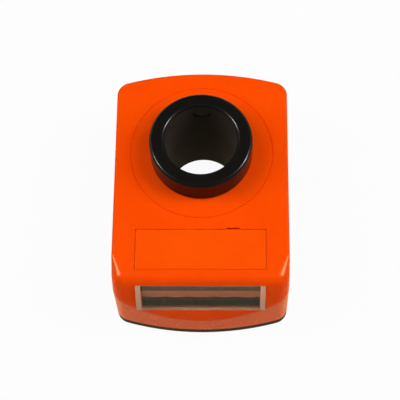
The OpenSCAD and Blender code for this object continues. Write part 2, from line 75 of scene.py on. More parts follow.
@dataclass(frozen=True)
class Finish:
    """A material: colour with its variation, gloss with its variation, and fine relief.

    Sizes are in metres. grain is the size of the relief, depth its height, and patch the size of the
    slow changes of colour. drift is the part of the noise over which the colour changes, gloss_patch the
    size of a change of gloss as a share of patch, and octaves the detail of colour, gloss and relief.
    ring_pitch and ring_wobble shape the rings of a turned surface, and draw_stretch the lines of a
    drawn one.
    """

    name: str
    colour: Triple
    shade: Triple
    roughness: Pair
    pattern: Pattern = Pattern.MOULDED
    metallic: float = 0.0
    ior: float = 1.48
    transmission: float = 0.0
    specular: float = 0.5
    tint: Triple = (1.0, 1.0, 1.0)
    grain: float = 0.0006
    depth: float = 0.000004
    patch: float = 0.012
    drift: Pair = (0.3, 0.7)
    gloss_patch: float = 0.4
    octaves: Triple = (3.0, 5.0, 2.0)
    ring_pitch: float = 0.3
    ring_wobble: float = 1.5
    draw_stretch: Triple = (0.05, 1.0, 1.0)

    def material(self) -> bpy.types.Material:
        """Make the node material, or return it if it is there.

        Returns:
            The material.
        """
        known = bpy.data.materials.get(self.name)
        if known:
            return known
        made = bpy.data.materials.new(self.name)
        made.use_nodes = True
        nodes, links = made.node_tree.nodes, made.node_tree.links
        shader = nodes["Principled BSDF"]
        shader.inputs["Metallic"].default_value = self.metallic
        shader.inputs["IOR"].default_value = self.ior
        shader.inputs["Transmission Weight"].default_value = self.transmission
        shader.inputs["Specular IOR Level"].default_value = self.specular
        shader.inputs["Specular Tint"].default_value = (*self.tint, 1.0)
        place = nodes.new("ShaderNodeTexCoord").outputs["Object"]
        colour_detail, gloss_detail, _ = self.octaves
        patches = self._noise(nodes, links, place, self.patch, colour_detail)
        links.new(self._blend(nodes, links, patches), shader.inputs["Base Color"])
        gloss = nodes.new("ShaderNodeMapRange")
        gloss.inputs["To Min"].default_value = self.roughness[0]
        gloss.inputs["To Max"].default_value = self.roughness[1]
        wear = self._noise(nodes, links, place, self.patch * self.gloss_patch, gloss_detail)
        links.new(wear, gloss.inputs["Value"])
        links.new(gloss.outputs["Result"], shader.inputs["Roughness"])
        bump = nodes.new("ShaderNodeBump")
        bump.inputs["Distance"].default_value = self.depth
        links.new(self._relief(nodes, links, place), bump.inputs["Height"])
        links.new(bump.outputs["Normal"], shader.inputs["Normal"])
        return made

    @staticmethod
    def _noise(nodes: bpy.types.Nodes, links: bpy.types.NodeLinks, place: bpy.types.NodeSocket, size: float,
               detail: float) -> bpy.types.NodeSocket:
        """Noise of a given size.

        Args:
            nodes: Nodes of the material.
            links: Links of the material.
            place: Socket with the coordinates.
            size: Size of one patch in metres.
            detail: Octaves of the noise.

        Returns:
            The noise's value socket.
        """
        noise = nodes.new("ShaderNodeTexNoise")
        noise.inputs["Scale"].default_value = 1.0 / size
        noise.inputs["Detail"].default_value = detail
        links.new(place, noise.inputs["Vector"])
        return noise.outputs["Fac"]

    def _blend(self, nodes: bpy.types.Nodes, links: bpy.types.NodeLinks,
               amount: bpy.types.NodeSocket) -> bpy.types.NodeSocket:
        """Colour that drifts between the finish's colour and its shade.

        Args:
            nodes: Nodes of the material.
            links: Links of the material.
            amount: Socket that says how far.

        Returns:
            The colour socket.
        """
        ramp = nodes.new("ShaderNodeValToRGB")
        for stop, position, colour in zip(ramp.color_ramp.elements, self.drift, (self.colour, self.shade)):
            stop.position = position
            stop.color = (*colour, 1.0)
        links.new(amount, ramp.inputs["Fac"])
        return ramp.outputs["Color"]

    def _relief(self, nodes: bpy.types.Nodes, links: bpy.types.NodeLinks,
                place: bpy.types.NodeSocket) -> bpy.types.NodeSocket:
        """Height of the fine relief that the pattern leaves.

        Args:
            nodes: Nodes of the material.
            links: Links of the material.
            place: Socket with the coordinates.

        Returns:
            The height socket.
        """
        detail = self.octaves[2]
        if self.pattern is Pattern.TURNED:
            rings = nodes.new("ShaderNodeTexWave")
            rings.wave_type = "RINGS"
            rings.rings_direction = "Z"
            rings.inputs["Scale"].default_value = self.ring_pitch / self.grain
            rings.inputs["Distortion"].default_value = self.ring_wobble
            rings.inputs["Detail"].default_value = detail
            links.new(place, rings.inputs["Vector"])
            return rings.outputs["Fac"]
        if self.pattern is Pattern.SINTERED:
            pores = nodes.new("ShaderNodeTexVoronoi")
            pores.inputs["Scale"].default_value = 1.0 / self.grain
            links.new(place, pores.inputs["Vector"])
            return pores.outputs["Distance"]
        if self.pattern is Pattern.DRAWN:
            stretch = nodes.new("ShaderNodeMapping")
            stretch.inputs["Scale"].default_value = self.draw_stretch
            links.new(place, stretch.inputs["Vector"])
            place = stretch.outputs["Vector"]
        return self._noise(nodes, links, place, self.grain, detail)


ORANGE = Finish("orange_gloss", (0.95, 0.072, 0.0004), (0.92, 0.064, 0.0003), (0.24, 0.30),
                specular=0.055, tint=(1.0, 0.9, 0.4), depth=0.000003)
ORANGE_PLATE = Finish("orange_plate", (0.95, 0.084, 0.0004), (0.93, 0.076, 0.0004), (0.18, 0.26),
                      specular=0.055, grain=0.0003)
CLEAR = Finish("clear_lens", (0.93, 0.93, 0.92), (0.88, 0.88, 0.87), (0.02, 0.06),
               transmission=1.0, ior=1.43, tint=(0.31, 0.28, 0.42), depth=0.0000003, grain=0.002)
FROSTED = Finish("frosted_border", (0.77, 0.40, 0.26), (0.70, 0.35, 0.23), (0.35, 0.50),
                 transmission=0.12, ior=1.43, grain=0.0003, depth=0.000008)
# Painted shade: the frost at a little over half its brightness, for the lens's underside
FROSTED_SHADED = Finish("frosted_painted_shade", (0.44, 0.19, 0.105), (0.40, 0.17, 0.095), (0.35, 0.50),
                   transmission=0.12, ior=1.43, grain=0.0003, depth=0.000008)
BLACK = Finish("black_satin", (0.012, 0.010, 0.008), (0.018, 0.015, 0.012), (0.30, 0.42),
               specular=0.012, grain=0.0004)
BLACKENED = Finish("oil_blackened", (0.005, 0.005, 0.004), (0.007, 0.006, 0.005), (0.18, 0.26),
                   Pattern.TURNED, specular=0.11, grain=0.00018, depth=0.000002)
# Rougher like a reamed bore, and about seven times lighter than the blackened outside: painted light in the
# dim bore
REAMED_LIT = Finish("blackened_bore_painted_light", (0.034, 0.024, 0.020), (0.042, 0.030, 0.025), (0.55, 0.70),
                Pattern.TURNED, specular=0.03, grain=0.00018, depth=0.000002)
# Painted light: the blackened screw lightened like the bore, against the shade in its hole
GRUB_LIT = Finish("blackened_screw_painted_light", (0.028, 0.020, 0.017), (0.034, 0.025, 0.021), (0.50, 0.65),
              Pattern.TURNED, specular=0.05, grain=0.0002, depth=0.000002)
STEEL = Finish("bright_steel", (0.52, 0.52, 0.53), (0.40, 0.40, 0.42), (0.22, 0.38),
               Pattern.DRAWN, metallic=1.0, grain=0.0002)
BRONZE = Finish("sintered_bronze", (0.50, 0.30, 0.10), (0.36, 0.20, 0.06), (0.35, 0.55),
                Pattern.SINTERED, metallic=1.0, grain=0.0003, depth=0.00001)
RUBBER = Finish("seal_rubber", (0.014, 0.014, 0.014), (0.024, 0.024, 0.023), (0.55, 0.75), grain=0.0003)
NATURAL = Finish("natural_plastic", (0.70, 0.66, 0.52), (0.62, 0.58, 0.45), (0.35, 0.50), grain=0.0004)
WHEEL_BLACK = Finish("drum_black", (0.016, 0.016, 0.016), (0.026, 0.025, 0.024), (0.38, 0.52),
                     specular=0.15, grain=0.0003)
WHEEL_RED = Finish("drum_red", (0.32, 0.012, 0.008), (0.26, 0.010, 0.007), (0.38, 0.52), grain=0.0003)
INK = Finish("white_ink", (0.70, 0.69, 0.65), (0.60, 0.59, 0.55), (0.45, 0.60),
             Pattern.PRINTED, grain=0.0002)
MASK = Finish("mask_print", (0.40, 0.092, 0.036), (0.35, 0.078, 0.030), (0.50, 0.65),
              Pattern.PRINTED, specular=0.1, grain=0.0002)
# Painted shadow: the mask print made near black for the strip under the window's upper edge
MASK_PAINTED_SHADOW = Finish("mask_painted_shadow", (0.060, 0.010, 0.002), (0.050, 0.008, 0.002), (0.50, 0.65),
                   Pattern.PRINTED, specular=0.1, grain=0.0002)


class Workshop:
    """Common steps that turn a mesh in millimetres into a finished piece."""

    @staticmethod
    def solid(name: str, mesh: bmesh.types.BMesh) -> bpy.types.Object:
        """Close a mesh and make it an object.

        Args:
            name: Name of the object.
            mesh: Mesh in millimetres, freed here.

        Returns:
            The object, still in millimetres.
        """
        bmesh.ops.remove_doubles(mesh, verts=mesh.verts, dist=WELD)
        bmesh.ops.recalc_face_normals(mesh, faces=mesh.faces)
        data = bpy.data.meshes.new(name)
        mesh.to_mesh(data)
        mesh.free()
        made = bpy.data.objects.new(name, data)
        bpy.context.scene.collection.objects.link(made)
        return made

    @staticmethod
    def extrude(mesh: bmesh.types.BMesh, face: bmesh.types.BMFace, way: Triple) -> None:
        """Raise a face to a solid.

        Args:
            mesh: Mesh that changes.
            face: Face of that mesh.
            way: Direction and length.
        """
        raised = bmesh.ops.extrude_face_region(mesh, geom=[face])["geom"]
        lifted = [g for g in raised if isinstance(g, bmesh.types.BMVert)]
        bmesh.ops.translate(mesh, verts=lifted, vec=way)

    @staticmethod
    def split(mesh: bmesh.types.BMesh, place: Vector, normal: Vector, cut_off: bool = False) -> None:
        """Cut a mesh along a plane.

        Args:
            mesh: Mesh that changes.
            place: Point on the plane.
            normal: Normal of the plane.
            cut_off: Whether what lies beyond the plane goes.
        """
        every = mesh.verts[:] + mesh.edges[:] + mesh.faces[:]
        bmesh.ops.bisect_plane(mesh, geom=every, dist=WELD, plane_co=place, plane_no=normal,
                               clear_outer=cut_off)

    @staticmethod
    def carve(body: bpy.types.Object, tools: list[bpy.types.Object], joined: bool = False) -> None:
        """Cut shapes out of a body, or join them to it, remove them and clean what the cut left.

        Args:
            body: Object that changes.
            tools: Objects that are used up.
            joined: Whether the tools are added instead of taken away.
        """
        for tool in tools:
            step = body.modifiers.new(tool.name, "BOOLEAN")
            step.operation = "UNION" if joined else "DIFFERENCE"
            step.solver = "EXACT"
            step.object = tool
        ready = body.evaluated_get(bpy.context.evaluated_depsgraph_get())
        data = bpy.data.meshes.new_from_object(ready)
        mesh = bmesh.new()
        mesh.from_mesh(data)
        bmesh.ops.remove_doubles(mesh, verts=mesh.verts, dist=CLEAN)
        bmesh.ops.dissolve_degenerate(mesh, dist=CLEAN, edges=mesh.edges)
        mesh.to_mesh(data)
        mesh.free()
        body.modifiers.clear()
        old, body.data = body.data, data
        bpy.data.meshes.remove(old)
        for tool in tools:
            bpy.data.meshes.remove(tool.data)

    @staticmethod
    def block(name: str, low: Triple, high: Triple) -> bpy.types.Object:
        """Box between two corners.

        Args:
            name: Name of the object.
            low: Lowest corner.
            high: Highest corner.

        Returns:
            The object.
        """
        mesh = bmesh.new()
        size = Vector(high) - Vector(low)
        middle = (Vector(high) + Vector(low)) / 2
        place = Matrix.Translation(middle) @ Matrix.Diagonal((*size, 1.0))
        bmesh.ops.create_cube(mesh, size=1.0, matrix=place)
        return Workshop.solid(name, mesh)

    @staticmethod
    def turned(name: str, profile: list[Pair], steps: int = 128) -> bpy.types.Object:
        """Closed profile of radius and height, spun about Z.

        Args:
            name: Name of the object.
            profile: Corners of the profile.
            steps: Steps of the full turn.

        Returns:
            The object.
        """
        mesh = bmesh.new()
        corners = [mesh.verts.new((r, 0.0, z)) for r, z in profile]
        edges = [mesh.edges.new((a, b)) for a, b in zip(corners, corners[1:] + corners[:1])]
        bmesh.ops.spin(mesh, geom=corners + edges, cent=(0, 0, 0), axis=(0, 0, 1), angle=math.tau,
                       steps=steps, use_merge=True)
        return Workshop.solid(name, mesh)

    @staticmethod
    def drill(name: str, place: Pair, levels: list[Pair], sides: int = 64) -> bpy.types.Object:
        """Stepped round tool along Z.

        Args:
            name: Name of the object.
            place: Axis in plan.
            levels: Height and radius at each level, from the bottom.
            sides: Steps of the full turn.

        Returns:
            The object.
        """
        mesh = bmesh.new()
        for (z0, r0), (z1, r1) in zip(levels, levels[1:]):
            bmesh.ops.create_cone(mesh, cap_ends=False, segments=sides, radius1=r0, radius2=r1,
                                  depth=z1 - z0, matrix=Matrix.Translation((*place, (z0 + z1) / 2)))
        bmesh.ops.remove_doubles(mesh, verts=mesh.verts, dist=WELD)
        bmesh.ops.holes_fill(mesh, edges=[e for e in mesh.edges if e.is_boundary], sides=0)
        return Workshop.solid(name, mesh)

    @staticmethod
    def soften(body: bpy.types.Object, choose: Callable[[bmesh.types.BMEdge], bool], offset: float,
               segments: int = 2) -> None:
        """Round chosen edges of a body.

        Args:
            body: Object that changes.
            choose: Test that takes an edge and says whether it is rounded.
            offset: Width of the rounding on each face.
            segments: Steps of the rounding.
        """
        mesh = bmesh.new()
        mesh.from_mesh(body.data)
        edges = [e for e in mesh.edges if len(e.link_faces) == 2 and choose(e)]
        bmesh.ops.bevel(mesh, geom=edges, offset=offset, offset_type="OFFSET", segments=segments,
                        profile=0.5, affect="EDGES", material=-1, clamp_overlap=True)
        mesh.to_mesh(body.data)
        mesh.free()

    @staticmethod
    def deliver(body: bpy.types.Object, finish: Finish, slot: str, rides: str, stands_for: str = "",
                smooth: float = 32.0) -> None:
        """Scale a piece to metres, shade and dress it, and hang it on its body.

        Args:
            body: Object in millimetres.
            finish: Its finish.
            slot: Material slot of the record.
            rides: Body that it moves with.
            stands_for: CAD node that it replaces, if any.
            smooth: Angle in degrees over which an edge stays sharp.
        """
        body.data.transform(Matrix.Scale(MM, 4))
        body.data.shade_smooth()
        body.data.set_sharp_from_angle(angle=math.radians(smooth))
        normals = body.modifiers.new("even_normals", "WEIGHTED_NORMAL")
        normals.keep_sharp = True
        body.data.materials.clear()
        body.data.materials.append(finish.material())
        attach(body, rides)
        if stands_for:
            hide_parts(stands_for)
        LOG.info("%s: %d faces, on %s", body.name, len(body.data.polygons), rides)

    @staticmethod
    def add_finish(body: bpy.types.Object, finish: Finish) -> int:
        """Give a delivered piece one more finish, for some of its faces.

        Args:
            body: The piece.
            finish: The finish.

        Returns:
            Its index among the piece's materials.
        """
        body.data.materials.append(finish.material())
        return len(body.data.materials) - 1


@dataclass(frozen=True)
class Slope:
    """The sloping front: its foot in the plane [y, z] and its angle from the horizontal."""

    foot_y: float = -43.8
    foot_z: float = 11.3
    degrees: float = 68.5

    @property
    def out(self) -> Vector:
        """Outward normal."""
        turn = math.radians(self.degrees)
        return Vector((0.0, -math.sin(turn), math.cos(turn)))

    @property
    def matrix(self) -> Matrix:
        """Frame with Y up the slope and Z out of it."""
        place = Matrix.Translation((0.0, self.foot_y, self.foot_z))
        return place @ Matrix.Rotation(math.radians(self.degrees), 4, "X")

    def trim(self, mesh: bmesh.types.BMesh, inset: float) -> None:
        """Cut off what lies in front of the slope, moved inward.

        Args:
            mesh: Mesh that changes.
            inset: Distance by which the slope moves inward.
        """
        place = Vector((0.0, self.foot_y, self.foot_z)) - self.out * inset
        Workshop.split(mesh, place, self.out, cut_off=True)


@dataclass(frozen=True)
class Outline:
    """Plan of the housing: flat sides, convex ends and rounded upright corners."""

    width: float = 48.0
    rear: float = 24.7
    front: float = 43.8
    end_radius: float = 80.0
    front_corner: float = 4.0
    rear_corner: float = 4.0
    end_steps: int = 36
    corner_steps: int = 12

    def _corner(self, radius: float) -> Triple:
        """Where an end's arc meets the corner.

        Args:
            radius: Radius of the corner.

        Returns:
            Side offset of the corner's axis, its distance in Y from the end's centre, half the end's angle.
        """
        side, reach = self.width / 2 - radius, self.end_radius - radius
        return side, math.sqrt(reach ** 2 - side ** 2), math.asin(side / reach)

    def face(self, mesh: bmesh.types.BMesh, inset: float, z: float) -> bmesh.types.BMFace:
        """Draw the plan as one face.

        Args:
            mesh: Mesh to draw in.
            inset: Distance by which the outline moves inward.
            z: Height of the face.

        Returns:
            The face.
        """
        front_x, front_drop, front_sweep = self._corner(self.front_corner)
        rear_x, rear_drop, rear_sweep = self._corner(self.rear_corner)
        front_y, rear_y = self.end_radius - self.front, self.rear - self.end_radius
        quarter = math.pi / 2
        front_turn, rear_turn = quarter - front_sweep, quarter - rear_sweep
        corner_steps = self.corner_steps
        arcs = (
            (0.0, front_y, self.end_radius, -quarter - front_sweep, 2 * front_sweep, self.end_steps),
            (front_x, front_y - front_drop, self.front_corner, -front_turn, front_turn, corner_steps),
            (rear_x, rear_y + rear_drop, self.rear_corner, 0.0, rear_turn, corner_steps),
            (0.0, rear_y, self.end_radius, rear_turn, 2 * rear_sweep, self.end_steps),
            (-rear_x, rear_y + rear_drop, self.rear_corner, quarter + rear_sweep, rear_turn, corner_steps),
            (-front_x, front_y - front_drop, self.front_corner, math.pi, front_turn, corner_steps),
        )
        before = set(mesh.edges)
        starts, ends = [], []
        for x, y, radius, start, angle, steps in arcs:
            r = radius - inset
            starts.append(mesh.verts.new((x + r * math.cos(start), y + r * math.sin(start), z)))
            spun = bmesh.ops.spin(mesh, geom=[starts[-1]], cent=(x, y, z), axis=(0, 0, 1), angle=angle,
                                  steps=steps)
            ends.append(next(g for g in spun["geom_last"] if isinstance(g, bmesh.types.BMVert)))
        for end, start in zip(ends, starts[1:] + starts[:1]):
            mesh.edges.new((end, start))
        edges = [e for e in mesh.edges if e not in before]
        verts = list(dict.fromkeys(v for e in edges for v in e.verts))
        bmesh.ops.remove_doubles(mesh, verts=verts, dist=CLEAN)
        loop = [e for e in mesh.edges if e not in before]
        return bmesh.ops.contextual_create(mesh, geom=loop)["faces"][0]

    def prism(self, mesh: bmesh.types.BMesh, inset: float, low: float, high: float) -> None:
        """Draw the plan and raise it to a solid.

        Args:
            mesh: Mesh to draw in.
            inset: Distance by which the outline moves inward.
            low: Lower height.
            high: Upper height.
        """
        Workshop.extrude(mesh, self.face(mesh, inset, low), (0.0, 0.0, high - low))


@dataclass
class Housing:
    """The orange hood with its window, plate recess, ring line and hollow inside.

    outline is its plan, and crown the plan of its top, with wider front corners. Its top edge has the
    radius rear_edge as far as the first Y of blend and grows to front_edge at the second. window is the
    opening's half width, foot and head on the slope. lens_lip is what the pocket behind it has more at
    the sides and the head, and its depth. plate is the recess's half width, front, rear and depth, and
    notch the left, right and rear of the notch in its rear edge. groove is the ring line's lead-in, foot
    and outer radius and its depth. bite is the overlap of joins and cuts, and reach and headroom let a
    cut pass right through.
    """

    outline: Outline
    crown: Outline
    slope: Slope
    base_top: float = 3.0
    top: float = 27.0
    rear_edge: float = 0.8
    front_edge: float = 3.6
    blend: Pair = (-30.5, -35.0)
    ball_steps: tuple[int, int] = (32, 24)
    flat_degrees: float = 0.4
    wall: float = 2.0
    roof: float = 2.3
    slope_wall: float = 2.4
    window: Triple = (17.6, 4.4, 14.6)
    mouth_edge: float = 0.18
    mouth_slack: float = 0.05
    lens_lip: Triple = (1.3, 0.5, 1.1)
    plate: tuple[float, float, float, float] = (17.7, -34.5, -22.9, 1.2)
    notch: Triple = (7.05, 10.55, -22.5)
    bush_radius: float = 13.7
    seal_radius: float = 14.0
    seal_z: float = 24.6
    sleeve_radius: float = 15.5
    sleeve_z: float = 20.6
    groove: tuple[float, float, float, float] = (19.5, 19.62, 19.87, 0.26)
    bite: float = 1.0
    reach: float = 8.0
    headroom: float = 5.0

    def build(self) -> None:
        """Model the hood, cut it and dress it."""
        body = self._hood()
        Workshop.carve(body, [self._hollow()])
        sleeve = [(self.sleeve_z, self.sleeve_radius), (self.top - self.bite, self.sleeve_radius)]
        Workshop.carve(body, [Workshop.drill("sleeve", (0, 0), sleeve)], joined=True)
        Workshop.carve(body, self._cutters())
        Workshop.soften(body, self._is_mouth, self.mouth_edge)
        Workshop.deliver(body, ORANGE, "orange", "case", "housing", smooth=24.0)

    def _hood(self) -> bpy.types.Object:
        """Convex block round the plan at its foot and the balls that round its top edge.

        Returns:
            The object.
        """
        mesh = bmesh.new()
        self.outline.face(mesh, 0.0, self.base_top)
        rear, front = self.blend
        around, upward = self.ball_steps
        for radius, end_y, away in ((self.rear_edge, rear, -1.0), (self.front_edge, front, 1.0)):
            core = self._core(radius, end_y, away)
            ball = bmesh.new()
            bmesh.ops.create_uvsphere(ball, u_segments=around, v_segments=upward, radius=radius)
            cap = [v.co.copy() for v in ball.verts if v.co.z > -NEAR]
            ball.free()
            for corner in core.verts:
                if corner.co.z > self.base_top + self.bite:
                    for offset in cap:
                        mesh.verts.new(corner.co + offset)
            core.free()
        bmesh.ops.remove_doubles(mesh, verts=mesh.verts, dist=CLEAN)
        hull = bmesh.ops.convex_hull(mesh, input=mesh.verts[:], use_existing_faces=False)
        unused = hull["geom_interior"] + hull["geom_unused"]
        spare = list(dict.fromkeys(g for g in unused if isinstance(g, bmesh.types.BMVert)))
        bmesh.ops.delete(mesh, geom=spare, context="VERTS")
        kept = {g for g in hull["geom"] if isinstance(g, bmesh.types.BMFace) and g.is_valid}
        stray = [f for f in mesh.faces if f not in kept]
        bmesh.ops.delete(mesh, geom=stray, context="FACES_ONLY")
        bmesh.ops.dissolve_limit(mesh, angle_limit=math.radians(self.flat_degrees), verts=mesh.verts[:],
                                 edges=mesh.edges[:])
        return Workshop.solid("housing_shell", mesh)

    def _core(self, radius: float, end_y: float, away: float) -> bmesh.types.BMesh:
        """Centres of the ball that rounds the top edge, for the rear or the front of the hood.

        Args:
            radius: Radius of the ball.
            end_y: Where this part of the edge ends.
            away: Way along Y of what is cut off there, -1 for the rear part and 1 for the front part.

        Returns:
            The centres, as the corners of a mesh.
        """
        core = bmesh.new()
        self.crown.prism(core, radius, self.base_top, self.top - radius)
        self.slope.trim(core, radius)
        Workshop.split(core, Vector((0.0, end_y, 0.0)), Vector((0.0, away, 0.0)), cut_off=True)
        return core

    def _hollow(self) -> bpy.types.Object:
        """Inside of the hood.

        Returns:
            The tool.
        """
        mesh = bmesh.new()
        self.outline.prism(mesh, self.wall, self.base_top - self.bite, self.top - self.roof)
        self.slope.trim(mesh, self.slope_wall)
        bmesh.ops.holes_fill(mesh, edges=[e for e in mesh.edges if e.is_boundary], sides=0)
        return Workshop.solid("hollow", mesh)

    def _cutters(self) -> list[bpy.types.Object]:
        """Tools for the window, the plate, the shaft and the ring line.

        Returns:
            The tools.
        """
        half, low, high = self.window
        side, head, depth = self.lens_lip
        opening = Workshop.block("opening", (-half, low, -self.reach), (half, high, self.reach))
        pocket = Workshop.block("pocket", (-half - side, low - side, -self.slope_wall - depth),
                                (half + side, high + head, -self.slope_wall))
        for tool in (opening, pocket):
            tool.data.transform(self.slope.matrix)
        plate_half, front, rear, sunk = self.plate
        left, right, back = self.notch
        lead, foot, outer, fine = self.groove
        over = self.top + self.headroom
        flank = lead - (foot - lead) / fine * self.headroom
        floor = self.top - sunk
        shaft_hole = [(self.sleeve_z - self.bite, self.bush_radius), (self.seal_z, self.bush_radius),
                      (self.seal_z, self.seal_radius), (over, self.seal_radius)]
        ring_line = [(foot, self.top - fine), (outer, self.top - fine), (outer, over), (flank, over)]
        return [
            opening, pocket,
            Workshop.block("recess", (-plate_half, front, floor), (plate_half, rear, over)),
            Workshop.block("notch", (left, rear - self.bite / 2, floor), (right, back, over)),
            Workshop.drill("shaft_hole", (0, 0), shaft_hole),
            Workshop.turned("ring_line", ring_line),
        ]

    def _is_mouth(self, edge: bmesh.types.BMEdge) -> bool:
        """Whether an edge rims the window on the slope, seen from outside.

        Args:
            edge: Edge of the hood.

        Returns:
            Whether it does.
        """
        half, low, high = self.window
        slack = self.mouth_slack
        inverse = self.slope.matrix.inverted()
        for corner in edge.verts:
            at = inverse @ corner.co
            rim = min(abs(abs(at.x) - half), abs(at.y - low), abs(at.y - high))
            if abs(at.z) > slack or rim > slack or not low - slack < at.y < high + slack:
                return False
        return edge.calc_face_angle(0.0) > SHARP


@dataclass
class NamePlate:
    """The bare orange insert in the top."""

    half_width: float = 17.6
    front: float = -34.4
    rear: float = -23.0
    top: float = 27.0
    thickness: float = 1.2
    corner: float = 0.35
    edge: float = 0.16

    def build(self) -> None:
        """Model the plate with softened edges and dress it."""
        body = Workshop.block("name_plate_insert",
                              (-self.half_width, self.front, self.top - self.thickness),
                              (self.half_width, self.rear, self.top))
        Workshop.soften(body, self._is_upright, self.corner, segments=4)
        Workshop.soften(body, self._on_top, self.edge, segments=3)
        Workshop.deliver(body, ORANGE_PLATE, "orange", "case", "name_plate")

    def _is_upright(self, edge: bmesh.types.BMEdge) -> bool:
        """Whether an edge stands upright."""
        return abs(edge.verts[0].co.z - edge.verts[1].co.z) > self.thickness / 2

    def _on_top(self, edge: bmesh.types.BMEdge) -> bool:
        """Whether an edge rims the top face."""
        return all(v.co.z > self.top - NEAR for v in edge.verts) and edge.calc_face_angle(0.0) > SHARP


@dataclass
class WindowLens:
    """The clear bar with its bulged front and the flange that holds it from behind.

    Its front is frosted beyond frost_x at the sides and within frost_low of its foot, down to
    frost_depth below its edges, and its underside is frosted too, in a darker copy of the frost that is
    painted shade.
    """

    slope: Slope
    half_width: float = 17.5
    low: float = 4.5
    high: float = 14.5
    depth: float = 2.4
    bulge: float = 0.5
    edge: float = 0.1
    lip_side: float = 1.2
    lip_top: float = 0.4
    lip_depth: float = 1.0
    lip_bite: float = 0.5
    frost_x: float = 16.1
    frost_low: float = 0.25
    frost_depth: float = 0.2
    arc_steps: int = 16

    def build(self) -> None:
        """Model the lens and dress it."""
        body = self._bar()
        flange = Workshop.block(
            "flange",
            (-self.half_width - self.lip_side, self.low - self.lip_side, -self.depth - self.lip_depth),
            (self.half_width + self.lip_side, self.high + self.lip_top, -self.depth))
        Workshop.carve(body, [flange], joined=True)
        body.data.transform(self.slope.matrix)
        Workshop.deliver(body, CLEAR, "clear", "case", "window_lens", smooth=25.0)
        frosted = Workshop.add_finish(body, FROSTED)
        underside = Workshop.add_finish(body, FROSTED_SHADED)
        inverse = self.slope.matrix.inverted()
        for face in body.data.polygons:
            at = inverse @ (face.center / MM)
            clear = abs(at.x) < self.frost_x and self.low + self.frost_low < at.y < self.high
            # The underside gets the darker frost, which paints shade on it
            if at.y < self.low + NEAR and at.z > -self.depth:
                face.material_index = underside
            elif at.z > -self.frost_depth and not clear:
                face.material_index = frosted

    def _bar(self) -> bpy.types.Object:
        """Bar with the bulged front, in the frame of the slope.

        Returns:
            The object.
        """
        mesh = bmesh.new()
        half = (self.high - self.low) / 2
        radius = (half ** 2 + self.bulge ** 2) / (2 * self.bulge)
        middle = (self.low + self.high) / 2
        turn = 2 * math.asin(half / radius)
        x = -self.half_width
        start = mesh.verts.new((x, self.low, 0.0))
        spun = bmesh.ops.spin(mesh, geom=[start], cent=(x, middle, self.bulge - radius), axis=(-1, 0, 0),
                              angle=turn, steps=self.arc_steps)
        end = next(g for g in spun["geom_last"] if isinstance(g, bmesh.types.BMVert))
        back = -self.depth - self.lip_bite
        under = mesh.verts.new((x, self.low, back))
        over = mesh.verts.new((x, self.high, back))
        for pair in ((end, over), (over, under), (under, start)):
            mesh.edges.new(pair)
        face = bmesh.ops.contextual_create(mesh, geom=mesh.edges[:])["faces"][0]
        Workshop.extrude(mesh, face, (2 * self.half_width, 0.0, 0.0))
        across, along = Vector((1.0, 0.0, 0.0)), Vector((0.0, 1.0, 0.0))
        borders = ((across, -self.frost_x), (across, self.frost_x), (along, self.low + self.frost_low))
        for normal, place in borders:
            Workshop.split(mesh, normal * place, normal)
        made = Workshop.solid("window_bar", mesh)
        Workshop.soften(made, self._is_front_edge, self.edge)
        return made

    @staticmethod
    def _is_front_edge(edge: bmesh.types.BMEdge) -> bool:
        """Whether an edge is the head or the foot of the bar's front."""
        return all(abs(v.co.z) < NEAR for v in edge.verts) and edge.calc_face_angle(0.0) > SHARP


@dataclass
class WindowMask:
    """Print on the back of the lens that leaves one row of digits in sight, with painted shadow of the
    window's upper edge above the line.
    """

    lens: WindowLens
    half_slot: float = 16.0
    slot: Pair = (4.6, 8.12)
    line: float = 10.3
    gap: float = 0.02
    ink: float = 0.06
    reach: float = 1.0

    def build(self) -> None:
        """Model the printed border and dress it."""
        lens = self.lens
        back = -lens.depth - lens.lip_depth - self.gap
        side = lens.half_width + lens.lip_side
        body = Workshop.block("window_mask", (-side, lens.low - lens.lip_side, back - self.ink),
                              (side, lens.high + lens.lip_top, back))
        low, high = self.slot
        slot = Workshop.block("slot", (-self.half_slot, low, back - self.reach),
                              (self.half_slot, high, back + self.reach))
        Workshop.carve(body, [slot])
        mesh = bmesh.new()
        mesh.from_mesh(body.data)
        Workshop.split(mesh, Vector((0.0, self.line, 0.0)), Vector((0.0, 1.0, 0.0)))
        mesh.to_mesh(body.data)
        mesh.free()
        above = [face.center.y > self.line for face in body.data.polygons]
        body.data.transform(lens.slope.matrix)
        Workshop.deliver(body, MASK, "orange", "case")
        # The strip above the line is painted shadow of the window's upper edge
        painted_shadow = Workshop.add_finish(body, MASK_PAINTED_SHADOW)
        for face, is_above in zip(body.data.polygons, above):
            if is_above:
                face.material_index = painted_shadow


